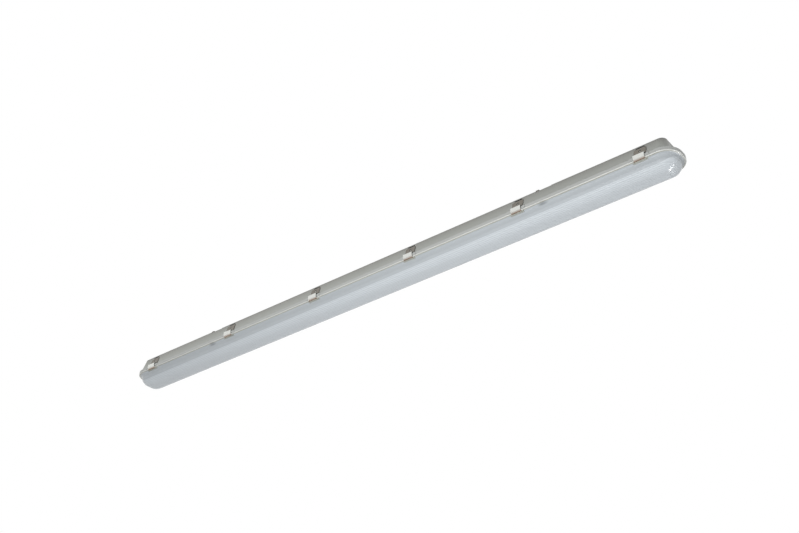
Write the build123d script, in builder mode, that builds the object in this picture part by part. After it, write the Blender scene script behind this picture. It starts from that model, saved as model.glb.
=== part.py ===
from build123d import *
import os
from math import atan, cos, pi, sin

# A sealed linear light for a ceiling: a drafted moulded housing, a gasket in its groove,
# a frosted cover with a crowned bottom and a tongue, twelve sprung steel latches on pins,
# a gear tray with light boards and driver, and two steel ceiling brackets.
# X runs along the length, -Y is the front, Z is up, and Z = 0 is the ceiling.

os.makedirs("parts", exist_ok=True)

# Driving dimensions, in millimetres
length = 1565.0
width = 85.0
end_flat = 5.2
housing_h = 34.7
flange_h = 6.1
rim_h = 2.2
cover_depth = 27.1
latch_count = 6
latch_end = 72.5
bracket_end = 296.5
corner_r = width / 2 - end_flat
latch_pitch = (length - 2 * latch_end) / (latch_count - 1)
bracket_x = length / 2 - bracket_end

# Clearances
seat_gap = 0.3
running_gap = 0.05
side_gap = 0.4
overrun = 0.5

# Levels from the ceiling down
bracket_t = 1.2
top_z = -bracket_t - seat_gap
foot_z = top_z - housing_h
flange_z = foot_z - flange_h
rim_z = flange_z - seat_gap
lip_z = rim_z - rim_h

FRONT = -1
BACK = 1


def save(part, name):
    """Label a finished piece and write its STEP file."""
    part.label = name
    export_step(part, f"parts/{name}.step")


# Housing: drafted walls with tight corners on a round ended flange that holds the gasket groove
foot_inset = 4.5
foot_end_inset = 14.5
foot_r = 18.0
side_draft = 10.2
end_draft = 7.7
top_corner_r = 13.6
top_edge_r = 4.0
end_edge_in = 0.3
edge_sections = 4
wall = 2.6
top_t = 2.5
flange_t = 2.2
skirt = 2.0
groove_w = 3.2
groove_in = skirt + groove_w
foot_half_w = width / 2 - foot_inset
foot_half_l = length / 2 - foot_end_inset
ceiling_z = top_z - top_t
draft = atan(side_draft / housing_h)
edge_z = top_z - top_edge_r * (1 - sin(draft))


def rise(z):
    """Share of the wall's height at level z."""
    return (z - foot_z) / housing_h


def wall_u(z):
    """Half width over the walls at level z."""
    return foot_half_w - side_draft * rise(z)


def end_u(z):
    """Half length over the end walls at level z."""
    return foot_half_l - end_draft * rise(z)


def wall_r(z):
    """Plan radius of the wall's corners at level z."""
    return foot_r + (top_corner_r - foot_r) * rise(z)


# Latch: a pin in a wall pocket, a plate, a bulge over the flange and a hook under the rim
latch_drop = 8.8
pin_r = 0.7
pin_seat = 2.4
pivot_depth = 1.04
sheet = 0.7
tongue_w = 18.7
plate_w = 27.0
plate_corner_r = 1.5
plate_start = 1.9
plate_end = 20.5
bulge_w = 24.3
bulge_out = 2.15
shoulder_drop = 3.2
hook_reach = 1.3
bend_r = 1.2
dimple_r = 2.0
dimple_rise = 4.5
pocket_up = 4.0
pocket_down = 2.2
pocket_back = 1.5
boss_margin = 1.6
rim_bevel_out = 1.0
rim_bevel_up = 1.3
latch_z = top_z - latch_drop
eye_bore_r = pin_r + running_gap
eye_r = eye_bore_r + sheet
pocket_w = tongue_w + 2 * side_gap
pocket_depth = pivot_depth + eye_r + side_gap
boss_h = pocket_up + pocket_down + 2 * pocket_back
boss_w = pocket_w + 2 * pin_seat + 2 * pocket_back
boss_y = (pocket_up - pocket_down) / 2
latch_xs = [latch_pitch * (i - (latch_count - 1) / 2) for i in range(latch_count)]
latch_places = [(x, side) for side in (FRONT, BACK) for x in latch_xs]


def wall_point(down, out):
    """Half width and level of a point down the wall from the latch and out from its face."""
    u = wall_u(latch_z) + down * sin(draft) + out * cos(draft)
    z = latch_z - down * cos(draft) + out * sin(draft)
    return (u, z)


def section_plane(x, side):
    """Plane across the length whose X is outwards and whose Y is up."""
    return Plane(origin=(x, 0, 0), x_dir=(0, side, 0), z_dir=(side, 0, 0))


def wall_plane(x, side, out=0):
    """Plane on the wall's face at a latch: Y up the wall, Z out of it."""
    u, z = wall_point(0, out)
    return Plane(origin=(x, side * u, z), x_dir=(-side, 0, 0), z_dir=(0, side * cos(draft), sin(draft)))


pivot = wall_point(0, -pivot_depth)

# Guards: small moulded blocks on the flange beside each latch
guard_l = 8.0
guard_out = 1.2
guard_x = bulge_w / 2 + 2 * side_gap + guard_l / 2

# Bracket recesses in the housing's top edges
bracket_w = 38.0
prong_w = 8.0
prong_in = 2.6
prong_l = 3.2
prong_drop = 4.0
lip_reach = 1.3
recess_l = 40.0
pad_in = 1.1
pad_drop = 4.0
bracket_xs = (-bracket_x, bracket_x)
prong_u = wall_u(top_z) - prong_in
bracket_half = prong_u - prong_l
recess_u = prong_u - seat_gap
recess_z = -bracket_t - prong_drop - seat_gap
undercut_u = recess_u - lip_reach
undercut_top_z = recess_z + bracket_t + 2 * seat_gap

# Gear tray, level with the flange
tray_sink = 2.8
tray_t = 0.8
tray_side_gap = 4.4
tray_end_gap = 22.0
tray_rail_h = 12.0
tray_z = foot_z - tray_sink
tray_bottom_z = tray_z - tray_t
tray_half_w = foot_half_w - wall - tray_side_gap
tray_half_l = end_u(foot_z) - tray_end_gap

# Posts for the tray's quarter-turn toggles, whose heads lie between the boards and the tray's edge
post_r = 5.0
stem_r = 2.5
stem_l = 13.0
post_bore_extra = 1.0
board_w = 17.0
head_in = 5.5
head_out = 1.0
head_low_u = board_w / 2 + head_in
head_high_u = tray_half_w - head_out
head_l = head_high_u - head_low_u
toggle_u = (head_low_u + head_high_u) / 2
toggle_places = [(x, side * toggle_u) for side in (FRONT, BACK) for x in bracket_xs]

# Rear cable entries
entry_in = 156.0
entry_r = 8.0
entry_x = bracket_x - entry_in
entry_places = [(-entry_x, 0), (entry_x, 0)]

with BuildPart() as housing:
    with BuildSketch(Plane.XY.offset(foot_z)):
        RectangleRounded(2 * foot_half_l, 2 * foot_half_w, foot_r)
    with BuildSketch(Plane.XY.offset(edge_z)):
        RectangleRounded(2 * end_u(edge_z), 2 * wall_u(edge_z), wall_r(edge_z))
    loft()
    # The long top edges are rounded by an arc, and the end edges stay almost sharp
    for i in range(edge_sections):
        angle = draft + (pi / 2 - draft) * i / (edge_sections - 1)
        level = edge_z + top_edge_r * (sin(angle) - sin(draft))
        drawn_in = top_edge_r * (cos(draft) - cos(angle))
        end_in = end_edge_in * (drawn_in / top_edge_r) ** 2
        with BuildSketch(Plane.XY.offset(level)):
            RectangleRounded(
                2 * (end_u(level) - end_in), 2 * (wall_u(edge_z) - drawn_in), wall_r(level) - drawn_in / 2
            )
    loft()
    with BuildSketch(Plane.XY.offset(foot_z)):
        RectangleRounded(length, width, corner_r)
    extrude(amount=-flange_h)
    # Guards
    with BuildSketch(Plane.XY.offset(foot_z)):
        for x, side in latch_places:
            with Locations((x - guard_x, side * width / 2), (x + guard_x, side * width / 2)):
                Rectangle(guard_l, 2 * guard_out)
    extrude(amount=-flange_h)
    # Hollow
    with BuildSketch(Plane.XY.offset(foot_z)):
        RectangleRounded(2 * (foot_half_l - wall), 2 * (foot_half_w - wall), foot_r - wall)
    extrude(amount=-flange_h - overrun, mode=Mode.SUBTRACT)
    with BuildSketch(Plane.XY.offset(foot_z)):
        RectangleRounded(2 * (foot_half_l - wall), 2 * (foot_half_w - wall), foot_r - wall)
    with BuildSketch(Plane.XY.offset(ceiling_z)):
        RectangleRounded(
            2 * (end_u(ceiling_z) - wall), 2 * (wall_u(ceiling_z) - wall), wall_r(ceiling_z) - wall
        )
    loft(mode=Mode.SUBTRACT)
    # Groove for the gasket
    with BuildSketch(Plane.XY.offset(flange_z)):
        RectangleRounded(length - 2 * skirt, width - 2 * skirt, corner_r - skirt)
        RectangleRounded(
            length - 2 * groove_in, width - 2 * groove_in, corner_r - groove_in, mode=Mode.SUBTRACT
        )
    extrude(amount=flange_h - flange_t, mode=Mode.SUBTRACT)
    # Bosses behind the latch pockets, then the pockets and their pin holes
    with BuildSketch(*[wall_plane(x, side, -wall / 2) for x, side in latch_places]):
        with Locations((0, boss_y)):
            Rectangle(boss_w, boss_h)
    extrude(amount=-(pocket_depth + boss_margin - wall / 2))
    with BuildSketch(*[wall_plane(x, side, overrun) for x, side in latch_places]):
        with Locations((0, boss_y)):
            Rectangle(pocket_w, pocket_up + pocket_down)
    extrude(amount=-(pocket_depth + overrun), mode=Mode.SUBTRACT)
    with BuildSketch(*[section_plane(x, side) for x, side in latch_places]):
        with Locations(pivot):
            Circle(pin_r + running_gap)
    extrude(amount=pocket_w / 2 + pin_seat, both=True, mode=Mode.SUBTRACT)
    # Posts down to the tray, bored for the toggles' stems
    with BuildSketch(Plane.XY.offset(ceiling_z + overrun)):
        with Locations(*toggle_places):
            Circle(post_r)
    extrude(amount=-(ceiling_z + overrun - tray_z))
    with BuildSketch(Plane.XY.offset(tray_z)):
        with Locations(*toggle_places):
            Circle(stem_r + running_gap)
    extrude(amount=stem_l + post_bore_extra, mode=Mode.SUBTRACT)
    # Pads under the bracket recesses, then the recesses and their undercuts
    with BuildSketch(Plane.XY.offset(ceiling_z + overrun)):
        for x in bracket_xs:
            for side in (FRONT, BACK):
                with Locations((x, side * (undercut_u - pad_in + wall_u(ceiling_z) - pad_in) / 2)):
                    Rectangle(recess_l + 2 * wall, wall_u(ceiling_z) - undercut_u)
    extrude(amount=-(pad_drop + overrun))
    with BuildSketch(Plane.XY.offset(top_z)):
        for x in bracket_xs:
            for side in (FRONT, BACK):
                with Locations((x, side * (recess_u + width / 2) / 2)):
                    Rectangle(recess_l, width / 2 - recess_u)
    extrude(amount=-(top_z - recess_z), mode=Mode.SUBTRACT)
    with BuildSketch(Plane.XY.offset(undercut_top_z)):
        for x in bracket_xs:
            for side in (FRONT, BACK):
                with Locations((x, side * (undercut_u + prong_u) / 2)):
                    Rectangle(recess_l, prong_u - undercut_u)
    extrude(amount=-(undercut_top_z - recess_z), mode=Mode.SUBTRACT)
    # Rear cable entries
    with BuildSketch(Plane.XY.offset(top_z + overrun)):
        with Locations(*entry_places):
            Circle(entry_r)
    extrude(amount=-(top_t + 2 * overrun), mode=Mode.SUBTRACT)
save(housing.part, "housing")

# Gasket: a foam ring at the roof of the groove
gasket_w = groove_w - 2 * running_gap
gasket_t = 2.0
groove_roof_z = foot_z - flange_t
gasket_out = skirt + running_gap
gasket_in = gasket_out + gasket_w
with BuildPart() as gasket:
    with BuildSketch(Plane.XY.offset(groove_roof_z)):
        RectangleRounded(length - 2 * gasket_out, width - 2 * gasket_out, corner_r - gasket_out)
        RectangleRounded(
            length - 2 * gasket_in, width - 2 * gasket_in, corner_r - gasket_in, mode=Mode.SUBTRACT
        )
    extrude(amount=-gasket_t)
save(gasket.part, "gasket")

# Cover: a bevelled rim with a tongue, a smooth side band and a crowned bottom.
# Each section is the rim's outline drawn in by an inset, at a depth below the lip.
cover_inset = 4.1
cover_wall = 2.0
tongue_t = 1.6
cover_half_w = width / 2 - cover_inset
crown_half = 6.5
# Depth and inset as shares of the full depth and of the full inset at the crown
band_shares = [(0.0, 0.0), (0.055, 0.085), (0.14, 0.135), (0.26, 0.165), (0.45, 0.198)]
crown_shares = [(0.45, 0.198), (0.60, 0.27), (0.765, 0.40), (0.893, 0.577), (0.972, 0.78), (1.0, 1.0)]


def cover_outline(inset):
    """One rounded outline of the cover, drawn in from the flange's outline."""
    RectangleRounded(length - 2 * inset, width - 2 * inset, corner_r - inset)


def cover_sections(shares, skin):
    """Outlines of the cover's form at its depths, drawn in all round by skin."""
    full_inset = cover_half_w - crown_half
    sections = []
    for depth_share, inset_share in shares:
        depth = (cover_depth - skin) * depth_share
        inset = cover_inset + skin + full_inset * inset_share * (1 - skin / cover_half_w)
        with BuildSketch(Plane.XY.offset(lip_z - depth)) as outline:
            cover_outline(inset)
        sections.append(outline.sketch.face())
    return sections


tongue_mid = skirt + groove_w / 2
tongue_in = tongue_mid + tongue_t / 2
# Catch pads under the lip, one inside each latch's hook
catch_l = 32.0
catch_h = 2.2
catch_in = 2.2
catch_out_u = width / 2 - catch_in
catch_in_u = cover_half_w - cover_wall
with BuildPart() as cover:
    with BuildSketch(Plane.XY.offset(rim_z)):
        cover_outline(0)
    extrude(amount=-(rim_h - rim_bevel_up))
    with BuildSketch(Plane.XY.offset(lip_z + rim_bevel_up)):
        cover_outline(0)
    with BuildSketch(Plane.XY.offset(lip_z)):
        cover_outline(rim_bevel_out)
    loft(ruled=True)
    loft(cover_sections(band_shares, 0), ruled=True)
    loft(cover_sections(crown_shares, 0))
    loft(cover_sections(band_shares, cover_wall), ruled=True, mode=Mode.SUBTRACT)
    loft(cover_sections(crown_shares, cover_wall), mode=Mode.SUBTRACT)
    with BuildSketch(Plane.XY.offset(lip_z)):
        cover_outline(cover_inset + cover_wall)
    extrude(amount=rim_h + overrun, mode=Mode.SUBTRACT)
    with BuildSketch(Plane.XY.offset(rim_z)):
        cover_outline(tongue_mid - tongue_t / 2)
        RectangleRounded(
            length - 2 * tongue_in, width - 2 * tongue_in, corner_r - tongue_in, mode=Mode.SUBTRACT
        )
    extrude(amount=groove_roof_z - gasket_t - seat_gap - rim_z)
    with BuildSketch(Plane.XY.offset(lip_z)):
        with Locations(*[(x, side * (catch_in_u + catch_out_u) / 2) for x, side in latch_places]):
            Rectangle(catch_l, catch_out_u - catch_in_u)
    extrude(amount=-catch_h)
save(cover.part, "cover")

# Latches: bent sheet whose side view is traced and whose front view trims it
eye_mid = -pivot_depth + eye_bore_r + sheet / 2
plate_mid = seat_gap + sheet / 2
bulge_u = width / 2 + bulge_out + sheet / 2
bevel_l = (rim_bevel_out**2 + rim_bevel_up**2) ** 0.5
bevel_in = (rim_bevel_out / bevel_l, rim_bevel_up / bevel_l)
hook_gap = seat_gap + sheet / 2
hook_u = width / 2 + hook_gap * bevel_in[1]
hook_z = lip_z + rim_bevel_up - hook_gap * bevel_in[0]
hook_slope = rim_bevel_up / rim_bevel_out
hook_top_z = hook_z + (bulge_u - hook_u) * hook_slope
hook_tip_u = width / 2 - hook_reach
hook_tip_z = hook_z - (hook_u - hook_tip_u) * hook_slope
shoulder_z = foot_z + shoulder_drop


def make_latch(x, side):
    """One latch, closed, hooked under the cover's rim."""
    with BuildPart() as latch:
        with BuildSketch(section_plane(x, side)):
            with BuildLine():
                FilletPolyline(
                    wall_point(0, eye_mid),
                    wall_point(plate_start, plate_mid),
                    wall_point(plate_end, plate_mid),
                    (bulge_u, shoulder_z),
                    (bulge_u, hook_top_z),
                    (hook_tip_u, hook_tip_z),
                    radius=bend_r,
                )
            trace(line_width=sheet)
            with Locations(pivot):
                Circle(eye_r)
        extrude(amount=plate_w / 2, both=True)
        with BuildSketch(wall_plane(x, side)):
            with Locations((0, eye_r - plate_start / 2)):
                Rectangle(tongue_w, 2 * eye_r + plate_start)
            with Locations((0, -(plate_start + plate_end) / 2)):
                RectangleRounded(plate_w, plate_end - plate_start, plate_corner_r)
            with Locations((0, -plate_end - housing_h / 2 + plate_corner_r)):
                Rectangle(bulge_w, housing_h + 2 * plate_corner_r)
            with Locations((0, dimple_rise - plate_end)):
                Circle(dimple_r, mode=Mode.SUBTRACT)
        extrude(amount=width / 2, both=True, mode=Mode.INTERSECT)
        with BuildSketch(section_plane(x, side)):
            with Locations(pivot):
                Circle(eye_bore_r)
        extrude(amount=plate_w, both=True, mode=Mode.SUBTRACT)
    return latch.part


for side, side_name in ((FRONT, "front"), (BACK, "back")):
    for i, x in enumerate(latch_xs):
        save(make_latch(x, side), f"latch_{side_name}_{i + 1}")

with BuildPart() as latch_pins:
    with BuildSketch(*[section_plane(x, side) for x, side in latch_places]):
        with Locations(pivot):
            Circle(pin_r)
    extrude(amount=pocket_w / 2 + pin_seat - running_gap, both=True)
save(latch_pins.part, "latch_pins")

# Toggles: quarter-turn heads that hold the tray to the posts
head_w = 6.0
head_h = 2.4
grip_w = 1.6
grip_h = 1.0
slot_gap = 0.4
toggle_top_z = tray_bottom_z - seat_gap


def make_toggle(x, y):
    """One toggle, turned across the tray's slot."""
    with BuildPart() as toggle:
        with BuildSketch(Plane.XY.offset(toggle_top_z)):
            with Locations((x, y)):
                SlotOverall(head_l, head_w, rotation=90)
        extrude(amount=-head_h)
        with BuildSketch(Plane.XY.offset(toggle_top_z - head_h)):
            with Locations((x, y)):
                SlotOverall(head_l - head_w, grip_w, rotation=90)
        extrude(amount=-grip_h)
        with BuildSketch(Plane.XY.offset(toggle_top_z)):
            with Locations((x, y)):
                Circle(stem_r)
        extrude(amount=stem_l)
    return toggle.part


toggle_names = ("front_left", "front_right", "back_left", "back_right")
for (x, y), place in zip(toggle_places, toggle_names):
    save(make_toggle(x, y), f"toggle_{place}")

# Light boards: three along the tray's underside, joined by links, held by screws
board_count = 3
board_gap = 20.0
board_end = 57.5
board_t = 1.6
chip_count = 22
chip_l = 3.5
chip_w = 2.8
chip_t = 0.7
chip_margin = 24.0
small_screw_r = 1.5
small_head_r = 2.8
small_head_h = 1.6
screw_margin = 12.0
link_l = 36.0
link_w = 9.0
link_t = 2.6
board_span = length - 2 * board_end
board_l = (board_span - (board_count - 1) * board_gap) / board_count
board_pitch = board_l + board_gap
board_xs = [board_pitch * (i - (board_count - 1) / 2) for i in range(board_count)]
board_z = tray_bottom_z - board_t
board_screw_xs = [x + end * (board_l / 2 - screw_margin) for x in board_xs for end in (-1, 1)]
link_xs = [x + board_pitch / 2 for x in board_xs[:-1]]
feed_x = link_xs[0]
feed_hole_r = 5.0

# Driver on the tray's top
driver_l = 280.0
driver_w = 30.0
driver_h = 18.0
driver_skin = 1.0
tab_l = 9.0
driver_screw_x = driver_l / 2 + tab_l / 2

# Terminal block, cord clamp and earth lug on the tray's top
pole_pitch = 10.0
block_from_driver = 51.0
block_l = 20.0
block_h = 15.0
clamp_from_block = 62.0
clamp_screw_y = 10.5
lug_from_driver = 9.0
lug_in = 11.0
lug_r = 4.5
driver_end_x = driver_l / 2 + tab_l
block_x = driver_end_x + block_from_driver
clamp_x = block_x + clamp_from_block
lug_x = driver_end_x + lug_from_driver
lug_y = lug_in - tray_half_w

tray_screws = [(x, 0) for x in board_screw_xs]
tray_screws += [(-driver_screw_x, 0), (driver_screw_x, 0)]
tray_screws += [(clamp_x, -clamp_screw_y), (clamp_x, clamp_screw_y), (lug_x, lug_y)]

with BuildPart() as gear_tray:
    with BuildSketch(Plane.XY.offset(tray_bottom_z)):
        Rectangle(2 * tray_half_l, 2 * tray_half_w)
        with Locations(*toggle_places):
            SlotOverall(head_l + 2 * slot_gap, head_w + 2 * slot_gap, mode=Mode.SUBTRACT)
        with Locations(*tray_screws):
            Circle(small_screw_r + running_gap, mode=Mode.SUBTRACT)
        with Locations((feed_x, 0)):
            Circle(feed_hole_r, mode=Mode.SUBTRACT)
    extrude(amount=tray_t)
save(gear_tray.part, "gear_tray")

# Rails along the tray's edges keep the thin plate straight
for side, side_name in ((FRONT, "front"), (BACK, "back")):
    with BuildPart() as tray_rail:
        with BuildSketch(Plane.XY.offset(tray_z)):
            with Locations((0, side * (tray_half_w - tray_t / 2))):
                Rectangle(2 * tray_half_l, tray_t)
        extrude(amount=tray_rail_h)
    save(tray_rail.part, f"tray_rail_{side_name}")

for i, x in enumerate(board_xs):
    with BuildPart() as led_board:
        with BuildSketch(Plane.XY.offset(board_z)):
            with Locations((x, 0)):
                Rectangle(board_l, board_w)
            with Locations(*[(sx, 0) for sx in board_screw_xs[2 * i : 2 * i + 2]]):
                Circle(small_screw_r + running_gap, mode=Mode.SUBTRACT)
        extrude(amount=board_t)
    save(led_board.part, f"led_board_{i + 1}")

chip_pitch = (board_l - 2 * chip_margin) / (chip_count - 1)
with BuildPart() as led_chips:
    with BuildSketch(Plane.XY.offset(board_z)):
        for x in board_xs:
            with Locations((x, 0)):
                with GridLocations(chip_pitch, 0, chip_count, 1):
                    Rectangle(chip_l, chip_w)
    extrude(amount=-chip_t)
save(led_chips.part, "led_chips")


def pan_screws(places, seat_z, into, up):
    """A group of screws whose heads sit on seat_z and whose shanks go the other way."""
    with BuildPart() as screws:
        with BuildSketch(Plane.XY.offset(seat_z)):
            with Locations(*places):
                Circle(small_head_r)
        extrude(amount=up * small_head_h)
        with BuildSketch(Plane.XY.offset(seat_z)):
            with Locations(*places):
                Circle(small_screw_r)
        extrude(amount=-up * into)
    return screws.part


screw_past = 0.8
board_screw_places = [(x, 0) for x in board_screw_xs]
save(pan_screws(board_screw_places, board_z, board_t + tray_t + screw_past, -1), "board_screws")

with BuildPart() as board_links:
    with BuildSketch(Plane.XY.offset(board_z)):
        with Locations(*[(x, 0) for x in link_xs]):
            Rectangle(link_l, link_w)
    extrude(amount=-link_t)
save(board_links.part, "board_links")

# Driver: a floor with end tabs and walls, a lid, a board and the parts on it
driver_floor_z = tray_z
driver_top_z = tray_z + driver_h
wire_r = 1.3
led_wire_r = 0.9
driver_wire_z = tray_z + driver_h / 2
mains_y = 5.0
led_y = 4.0
with BuildPart() as driver_base:
    with BuildSketch(Plane.XY.offset(driver_floor_z)):
        Rectangle(driver_l + 2 * tab_l, driver_w)
        with Locations((-driver_screw_x, 0), (driver_screw_x, 0)):
            Circle(small_screw_r + running_gap, mode=Mode.SUBTRACT)
    extrude(amount=driver_skin)
    with BuildSketch(Plane.XY.offset(driver_floor_z)):
        Rectangle(driver_l, driver_w)
        Rectangle(driver_l - 2 * driver_skin, driver_w - 2 * driver_skin, mode=Mode.SUBTRACT)
    extrude(amount=driver_h)
    with BuildSketch(Plane.YZ.offset(driver_l / 2 - driver_skin - overrun)):
        with Locations((-mains_y, driver_wire_z), (mains_y, driver_wire_z)):
            Circle(wire_r + seat_gap)
    extrude(amount=driver_skin + 2 * overrun, mode=Mode.SUBTRACT)
    with BuildSketch(Plane.YZ.offset(-driver_l / 2 - overrun)):
        with Locations((-led_y, driver_wire_z), (led_y, driver_wire_z)):
            Circle(led_wire_r + seat_gap)
    extrude(amount=driver_skin + 2 * overrun, mode=Mode.SUBTRACT)
save(driver_base.part, "driver_base")

lid_lip = 3.0
lid_in = driver_skin + running_gap
with BuildPart() as driver_lid:
    with BuildSketch(Plane.XY.offset(driver_top_z)):
        Rectangle(driver_l, driver_w)
    extrude(amount=driver_skin)
    with BuildSketch(Plane.XY.offset(driver_top_z)):
        Rectangle(driver_l - 2 * lid_in, driver_w - 2 * lid_in)
        Rectangle(
            driver_l - 2 * (lid_in + driver_skin), driver_w - 2 * (lid_in + driver_skin), mode=Mode.SUBTRACT
        )
    extrude(amount=-lid_lip)
save(driver_lid.part, "driver_lid")

circuit_lift = 2.0
circuit_t = 1.6
circuit_gap = 0.5
stand_r = 2.0
stand_in = 4.0
circuit_z = driver_floor_z + driver_skin + circuit_lift
circuit_l = driver_l - 2 * (driver_skin + circuit_gap)
circuit_w = driver_w - 2 * (driver_skin + circuit_gap)
with BuildPart() as driver_circuit:
    with BuildSketch(Plane.XY.offset(circuit_z)):
        Rectangle(circuit_l, circuit_w)
    extrude(amount=circuit_t)
    with BuildSketch(Plane.XY.offset(driver_floor_z + driver_skin)):
        with GridLocations(circuit_l - 2 * stand_in, circuit_w - 2 * stand_in, 2, 2):
            Circle(stand_r)
    extrude(amount=circuit_lift)
save(driver_circuit.part, "driver_circuit")

# Parts on the circuit: end connectors, a wound core, chokes and round capacitors
connector_l = 8.0
connector_w = 15.0
connector_inset = 2.0
core_l = 24.0
core_w = 18.0
core_h = 9.5
choke_l = 14.0
can_r = 5.0
can_h = 9.0
connector_x = driver_l / 2 - driver_skin - connector_inset - connector_l / 2
parts_z = circuit_z + circuit_t
core_x_share = 0.07
choke_x_share = 0.25
can_x_shares = (-0.30, -0.24, -0.18)
with BuildPart() as driver_parts:
    with BuildSketch(Plane.XY.offset(parts_z)):
        with Locations((-connector_x, 0), (connector_x, 0)):
            Rectangle(connector_l, connector_w)
        with Locations((core_x_share * driver_l, 0)):
            RectangleRounded(core_l, core_w, stand_r)
        with Locations((choke_x_share * driver_l, 0)):
            RectangleRounded(choke_l, choke_l, stand_r)
    extrude(amount=core_h)
    with BuildSketch(Plane.XY.offset(parts_z)):
        with Locations(*[(share * driver_l, 0) for share in can_x_shares]):
            Circle(can_r)
    extrude(amount=can_h)
save(driver_parts.part, "driver_parts")

driver_screw_places = [(-driver_screw_x, 0), (driver_screw_x, 0)]
driver_seat_z = driver_floor_z + driver_skin
save(pan_screws(driver_screw_places, driver_seat_z, driver_skin + tray_t, 1), "driver_screws")

# Terminal block: three poles, each with a brass clamp, two screws and a wire way
way_r = 2.1
way_z = tray_z + 6.0
cell_l = 13.0
cell_w = 7.0
cell_h = 8.0
cell_gap = 0.2
pole_screw_r = 1.5
pole_head_r = 2.2
pole_head_h = 1.8
pole_screw_x = 3.5
pole_count = 3
pole_ys = [pole_pitch * (i - (pole_count - 1) / 2) for i in range(pole_count)]
block_w = pole_count * pole_pitch
block_top_z = tray_z + block_h
cell_bottom_z = way_z - cell_h / 2
pole_screws = [(block_x + s * pole_screw_x, y) for y in pole_ys for s in (-1, 1)]
with BuildPart() as terminal_block:
    with BuildSketch(Plane.XY.offset(tray_z)):
        with Locations((block_x, 0)):
            RectangleRounded(block_l, block_w, cell_gap + running_gap)
    extrude(amount=block_h)
    with BuildSketch(Plane.XY.offset(cell_bottom_z)):
        with Locations(*[(block_x, y) for y in pole_ys]):
            Rectangle(cell_l, cell_w)
    extrude(amount=cell_h, mode=Mode.SUBTRACT)
    with BuildSketch(Plane.YZ.offset(block_x - block_l / 2 - overrun)):
        with Locations(*[(y, way_z) for y in pole_ys]):
            Circle(way_r)
    extrude(amount=block_l + 2 * overrun, mode=Mode.SUBTRACT)
    with BuildSketch(Plane.XY.offset(block_top_z + overrun)):
        with Locations(*pole_screws):
            Circle(pole_head_r + cell_gap)
    extrude(amount=-(block_top_z + overrun - cell_bottom_z - cell_h), mode=Mode.SUBTRACT)
save(terminal_block.part, "terminal_block")

with BuildPart() as terminal_clamps:
    with BuildSketch(Plane.XY.offset(cell_bottom_z)):
        with Locations(*[(block_x, y) for y in pole_ys]):
            Rectangle(cell_l - 2 * cell_gap, cell_w - 2 * cell_gap)
    extrude(amount=cell_h - cell_gap)
    with BuildSketch(Plane.YZ.offset(block_x - block_l / 2)):
        with Locations(*[(y, way_z) for y in pole_ys]):
            Circle(way_r - cell_gap)
    extrude(amount=block_l, mode=Mode.SUBTRACT)
    with BuildSketch(Plane.XY.offset(way_z)):
        with Locations(*pole_screws):
            Circle(pole_screw_r + running_gap)
    extrude(amount=cell_h, mode=Mode.SUBTRACT)
save(terminal_clamps.part, "terminal_clamps")

pole_tip_z = way_z + wire_r + cell_gap
pole_seat_z = block_top_z - pole_head_h - cell_gap
with BuildPart() as terminal_screws:
    with BuildSketch(Plane.XY.offset(pole_tip_z)):
        with Locations(*pole_screws):
            Circle(pole_screw_r)
    extrude(amount=pole_seat_z - pole_tip_z)
    with BuildSketch(Plane.XY.offset(pole_seat_z)):
        with Locations(*pole_screws):
            Circle(pole_head_r)
    extrude(amount=pole_head_h)
save(terminal_screws.part, "terminal_screws")

# Cord clamp: a saddle strap over the supply cable's place
cable_r = 4.7
strap_w = 8.0
strap_t = 1.5
foot_l = 9.0
strap_r = cable_r + strap_t
with BuildPart() as cord_clamp:
    with BuildSketch(Plane.YZ.offset(clamp_x - strap_w / 2)):
        with Locations((0, tray_z)):
            Circle(strap_r)
            Rectangle(2 * (cable_r + foot_l), strap_t, align=(Align.CENTER, Align.MIN))
            Circle(cable_r, mode=Mode.SUBTRACT)
            Rectangle(2 * strap_r, strap_r, align=(Align.CENTER, Align.MAX), mode=Mode.SUBTRACT)
    extrude(amount=strap_w)
    with BuildSketch(Plane.XY.offset(tray_z)):
        with Locations((clamp_x, -clamp_screw_y), (clamp_x, clamp_screw_y)):
            Circle(small_screw_r + running_gap)
    extrude(amount=strap_t, mode=Mode.SUBTRACT)
save(cord_clamp.part, "cord_clamp")
clamp_screw_places = [(clamp_x, -clamp_screw_y), (clamp_x, clamp_screw_y)]
save(pan_screws(clamp_screw_places, tray_z + strap_t, strap_t + tray_t + overrun, 1), "clamp_screws")

# Earth lug: a ring on the tray with a barrel for the earth wire
lug_t = 0.8
barrel_l = 7.0
barrel_wall = 0.7
barrel_r = wire_r + running_gap + barrel_wall
barrel_x = lug_x + lug_r
barrel_z = tray_z + barrel_r
with BuildPart() as earth_lug:
    with BuildSketch(Plane.XY.offset(tray_z)):
        with Locations((lug_x, lug_y)):
            Circle(lug_r)
        with Locations((lug_x + lug_r, lug_y)):
            Rectangle(lug_r, barrel_r)
        with Locations((lug_x, lug_y)):
            Circle(small_screw_r + running_gap, mode=Mode.SUBTRACT)
    extrude(amount=lug_t)
    with BuildSketch(Plane.YZ.offset(barrel_x)):
        with Locations((lug_y, barrel_z)):
            Circle(barrel_r)
    extrude(amount=barrel_l)
    with BuildSketch(Plane.YZ.offset(barrel_x + barrel_wall)):
        with Locations((lug_y, barrel_z)):
            Circle(wire_r + running_gap)
    extrude(amount=barrel_l, mode=Mode.SUBTRACT)
save(earth_lug.part, "earth_lug")
save(pan_screws([(lug_x, lug_y)], tray_z + lug_t, lug_t + tray_t + overrun, 1), "earth_screw")


# Wires: tubes along straight runs joined by arcs
def make_wire(points, radii, tube_r):
    """One wire from its first point to its last."""
    with BuildPart() as wire:
        with BuildLine() as route:
            FilletPolyline(*points, radius=radii)
        with BuildSketch(Plane(origin=route.line @ 0, z_dir=route.line % 0)):
            Circle(tube_r)
        sweep()
    return wire.part


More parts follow.
